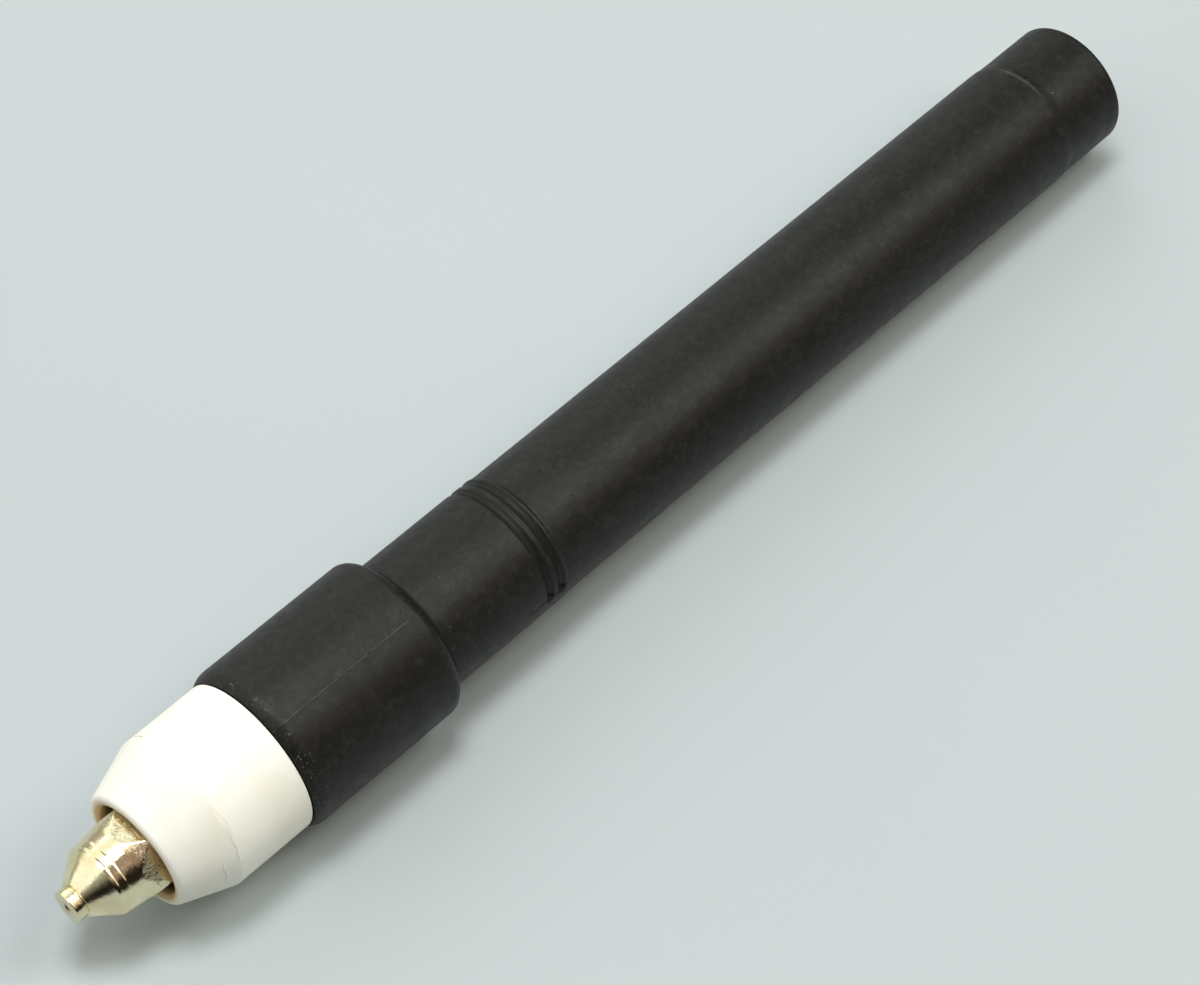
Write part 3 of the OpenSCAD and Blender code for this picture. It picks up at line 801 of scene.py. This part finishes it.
wear(nozzle_piece(), nozzle_plating())
wear(cup_piece(), cup_ceramic())
wear(insert_piece(), brass)
wear(sleeve_piece(), black_plastic("sleeve_black", (14, 13, 12), on_sleeve=True))
wear(handle_piece(), black_plastic("handle_black", (13, 12, 11)))
wear(moulding_piece(), resin("head_phenolic", (92, 58, 40), (74, 46, 33)))
wear(bush_piece(), black_plastic("bush_black", (42, 41, 40)))
wear(connector_piece(), brass)

cad_finishes = {
    "nozzle_seal": rubber("seal_rubber", (160, 60, 45), (172, 88, 72)),
    "cathode_seals": rubber("cathode_seal_rubber", (150, 54, 42), (166, 84, 70)),
    "cup_seal": rubber("cup_seal_rubber", (40, 40, 40), (62, 61, 60)),
    "electrode": copper,
    "emitter": hafnium,
    "swirl_ring": resin("swirl_resin", (150, 96, 58), (124, 76, 46)),
    "nozzle_seat": brass,
    "cathode_body": brass,
    "inner_insulator": resin("insulator_resin", (208, 186, 150), (190, 164, 126)),
    "handle_screws": steel,
    "gas_tube": copper,
    "tube_insulation": rubber("heat_shrink", (58, 58, 60), (78, 78, 80)),
    "tube_spacers": resin("spacer_nylon", (226, 224, 214), (212, 209, 198), 3, 0.42),
    "pilot_lug": brass,
    "pilot_wire": rubber("wire_silicone", (178, 40, 34), (190, 66, 56)),
    "pilot_terminal": metal("terminal_brass", (232, 204, 140), (214, 180, 112), 0.2, 0.36, 0.002),
}
for node, material in cad_finishes.items():
    wear(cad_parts[node], material)


# ---- Table, studio and camera ----

# The table touches the sleeve's rear edge and the handle's end, so it is turned a little about Y.
rest_front = spot(sleeve_rear - 3, sleeve_r, 180)
rest_rear = spot(torch_rear - 1.5, end_r, 180)
table_slope = (rest_rear - rest_front).normalized()
table_up = Vector((-table_slope.z, 0, table_slope.x))


def table():
    """Plain pale table top."""
    f = Finish("table_top")
    color = f.mix(f.ramp(f.noise(180, 2), 0.3, 0.7), display(181, 190, 191), display(179, 188, 189))
    f.relief(f.noise(0.8, 3), 0.01)
    material = f.finish(color, f.blend(f.noise(60, 2), 0.5, 0.6), Specular_IOR_Level=0.3)
    half_size = 15
    along = table_slope * half_size
    across = Vector((0, half_size, 0))
    mesh = bpy.data.meshes.new("table")
    corners = [rest_front + along * a + across * b for a, b in ((-1, -1), (1, -1), (1, 1), (-1, 1))]
    mesh.from_pydata(corners, [], [(0, 1, 2, 3)])
    top = bpy.data.objects.new("table", mesh)
    bpy.context.scene.collection.objects.link(top)
    wear(top, material)


def softbox(name, direction, width, height, power, color):
    """A soft rectangular light that faces the torch, its width roughly along the camera's right."""
    data = bpy.data.lights.new(name, "AREA")
    data.shape = "RECTANGLE"
    data.size, data.size_y = width, height
    data.energy = power
    data.color = color
    light = bpy.data.objects.new(name, data)
    away = Vector(direction).normalized()
    across = away.cross(sideways).normalized()
    turned = Matrix((across.cross(away), across, away)).transposed().to_4x4()
    light.matrix_world = Matrix.Translation(light_aim + away * light_distance) @ turned
    bpy.context.scene.collection.objects.link(light)


def studio():
    """A dim room with a pale patch overhead and a wide pale side, stronger in reflections than as light.

    The camera itself sees a pale backdrop.
    """
    as_light, as_seen = 0.1, 0.75
    world = bpy.data.worlds.new("studio")
    bpy.context.scene.world = world
    world.use_nodes = True
    tree = world.node_tree
    tree.nodes.clear()

    def node(kind, **settings):
        made = tree.nodes.new(kind)
        for key, value in settings.items():
            setattr(made, key, value)
        return made

    place = node("ShaderNodeTexCoord").outputs["Generated"]
    room = None
    for direction, start, full, color in (
        ((-0.3, -0.4, 0.87), 0.78, 0.94, display(190, 166, 158)),
        ((-0.6, 0.72, 0.34), 0.24, 0.66, display(208, 208, 194)),
    ):
        facing = node("ShaderNodeVectorMath", operation="DOT_PRODUCT")
        facing.inputs[1].default_value = Vector(direction).normalized()
        spread = node("ShaderNodeMapRange", interpolation_type="SMOOTHSTEP")
        spread.inputs[1].default_value = start
        spread.inputs[2].default_value = full
        lit = node("ShaderNodeMix", data_type="RGBA")
        lit.inputs[6].default_value = display(44, 38, 34)
        lit.inputs[7].default_value = color
        tree.links.new(place, facing.inputs[0])
        tree.links.new(facing.outputs["Value"], spread.inputs[0])
        tree.links.new(spread.outputs[0], lit.inputs[0])
        if room:
            tree.links.new(room, lit.inputs[6])
        room = lit.outputs[2]
    seen = node("ShaderNodeLightPath")
    shown = node("ShaderNodeMix", data_type="RGBA")
    shown.inputs[7].default_value = display(212, 221, 219)
    background = node("ShaderNodeBackground")
    strength = node("ShaderNodeMapRange")
    strength.inputs[3].default_value = as_light
    strength.inputs[4].default_value = as_seen
    output = node("ShaderNodeOutputWorld")
    tree.links.new(seen.outputs["Is Camera Ray"], shown.inputs[0])
    tree.links.new(room, shown.inputs[6])
    tree.links.new(shown.outputs[2], background.inputs[0])
    direct = node("ShaderNodeMath", operation="MAXIMUM")
    tree.links.new(seen.outputs["Is Camera Ray"], direct.inputs[0])
    tree.links.new(seen.outputs["Is Glossy Ray"], direct.inputs[1])
    tree.links.new(direct.outputs[0], strength.inputs[0])
    tree.links.new(strength.outputs[0], background.inputs[1])
    tree.links.new(background.outputs[0], output.inputs[0])


def camera(aim, azimuth, elevation, distance):
    """A camera level with the table. Azimuth 0 looks along +Y, and elevation is above the XY plane.

    Returns the direction to its right.
    """
    a, e = math.radians(azimuth), math.radians(elevation)
    back = Vector((math.sin(a) * math.cos(e), -math.cos(a) * math.cos(e), math.sin(e)))
    right = table_up.cross(back).normalized()
    up = back.cross(right)
    data = bpy.data.cameras.new("camera")
    data.sensor_width = 36
    data.lens = 103.17
    data.clip_start, data.clip_end = 0.01, 60
    made = bpy.data.objects.new("camera", data)
    turned = Matrix((right, up, back)).transposed().to_4x4()
    made.matrix_world = Matrix.Translation(aim + back * distance) @ turned
    bpy.context.scene.collection.objects.link(made)
    bpy.context.scene.camera = made
    return right


table()
sideways = camera(Vector((-0.04743, -0.00335, 0)), azimuth=-46.98, elevation=53.77, distance=0.5687)
light_aim = Vector((-0.04, 0, 0))
light_distance = 1.2
softbox("main_light", (-0.02, 0.05, 1), 0.36, 0.36, 8.3, (0.975, 0.98, 1.0))
softbox("left_light", (-0.50, 0.45, 0.74), 2.0, 2.0, 10.9, (1.0, 0.975, 0.96))
softbox("right_light", (0.45, -0.60, 0.66), 0.9, 0.9, 2.5, (1.0, 0.8, 0.6))
softbox("back_light", (0.43, -0.36, 0.82), 0.6, 0.45, 5.7, (0.97, 1.0, 0.955))
softbox("far_light", (0.4, 0.75, 0.5), 0.9, 0.9, 3.5, (0.95, 1.0, 0.96))
studio()

scene_view = bpy.context.scene.view_settings
scene_view.view_transform = "Standard"
scene_view.look = "None"
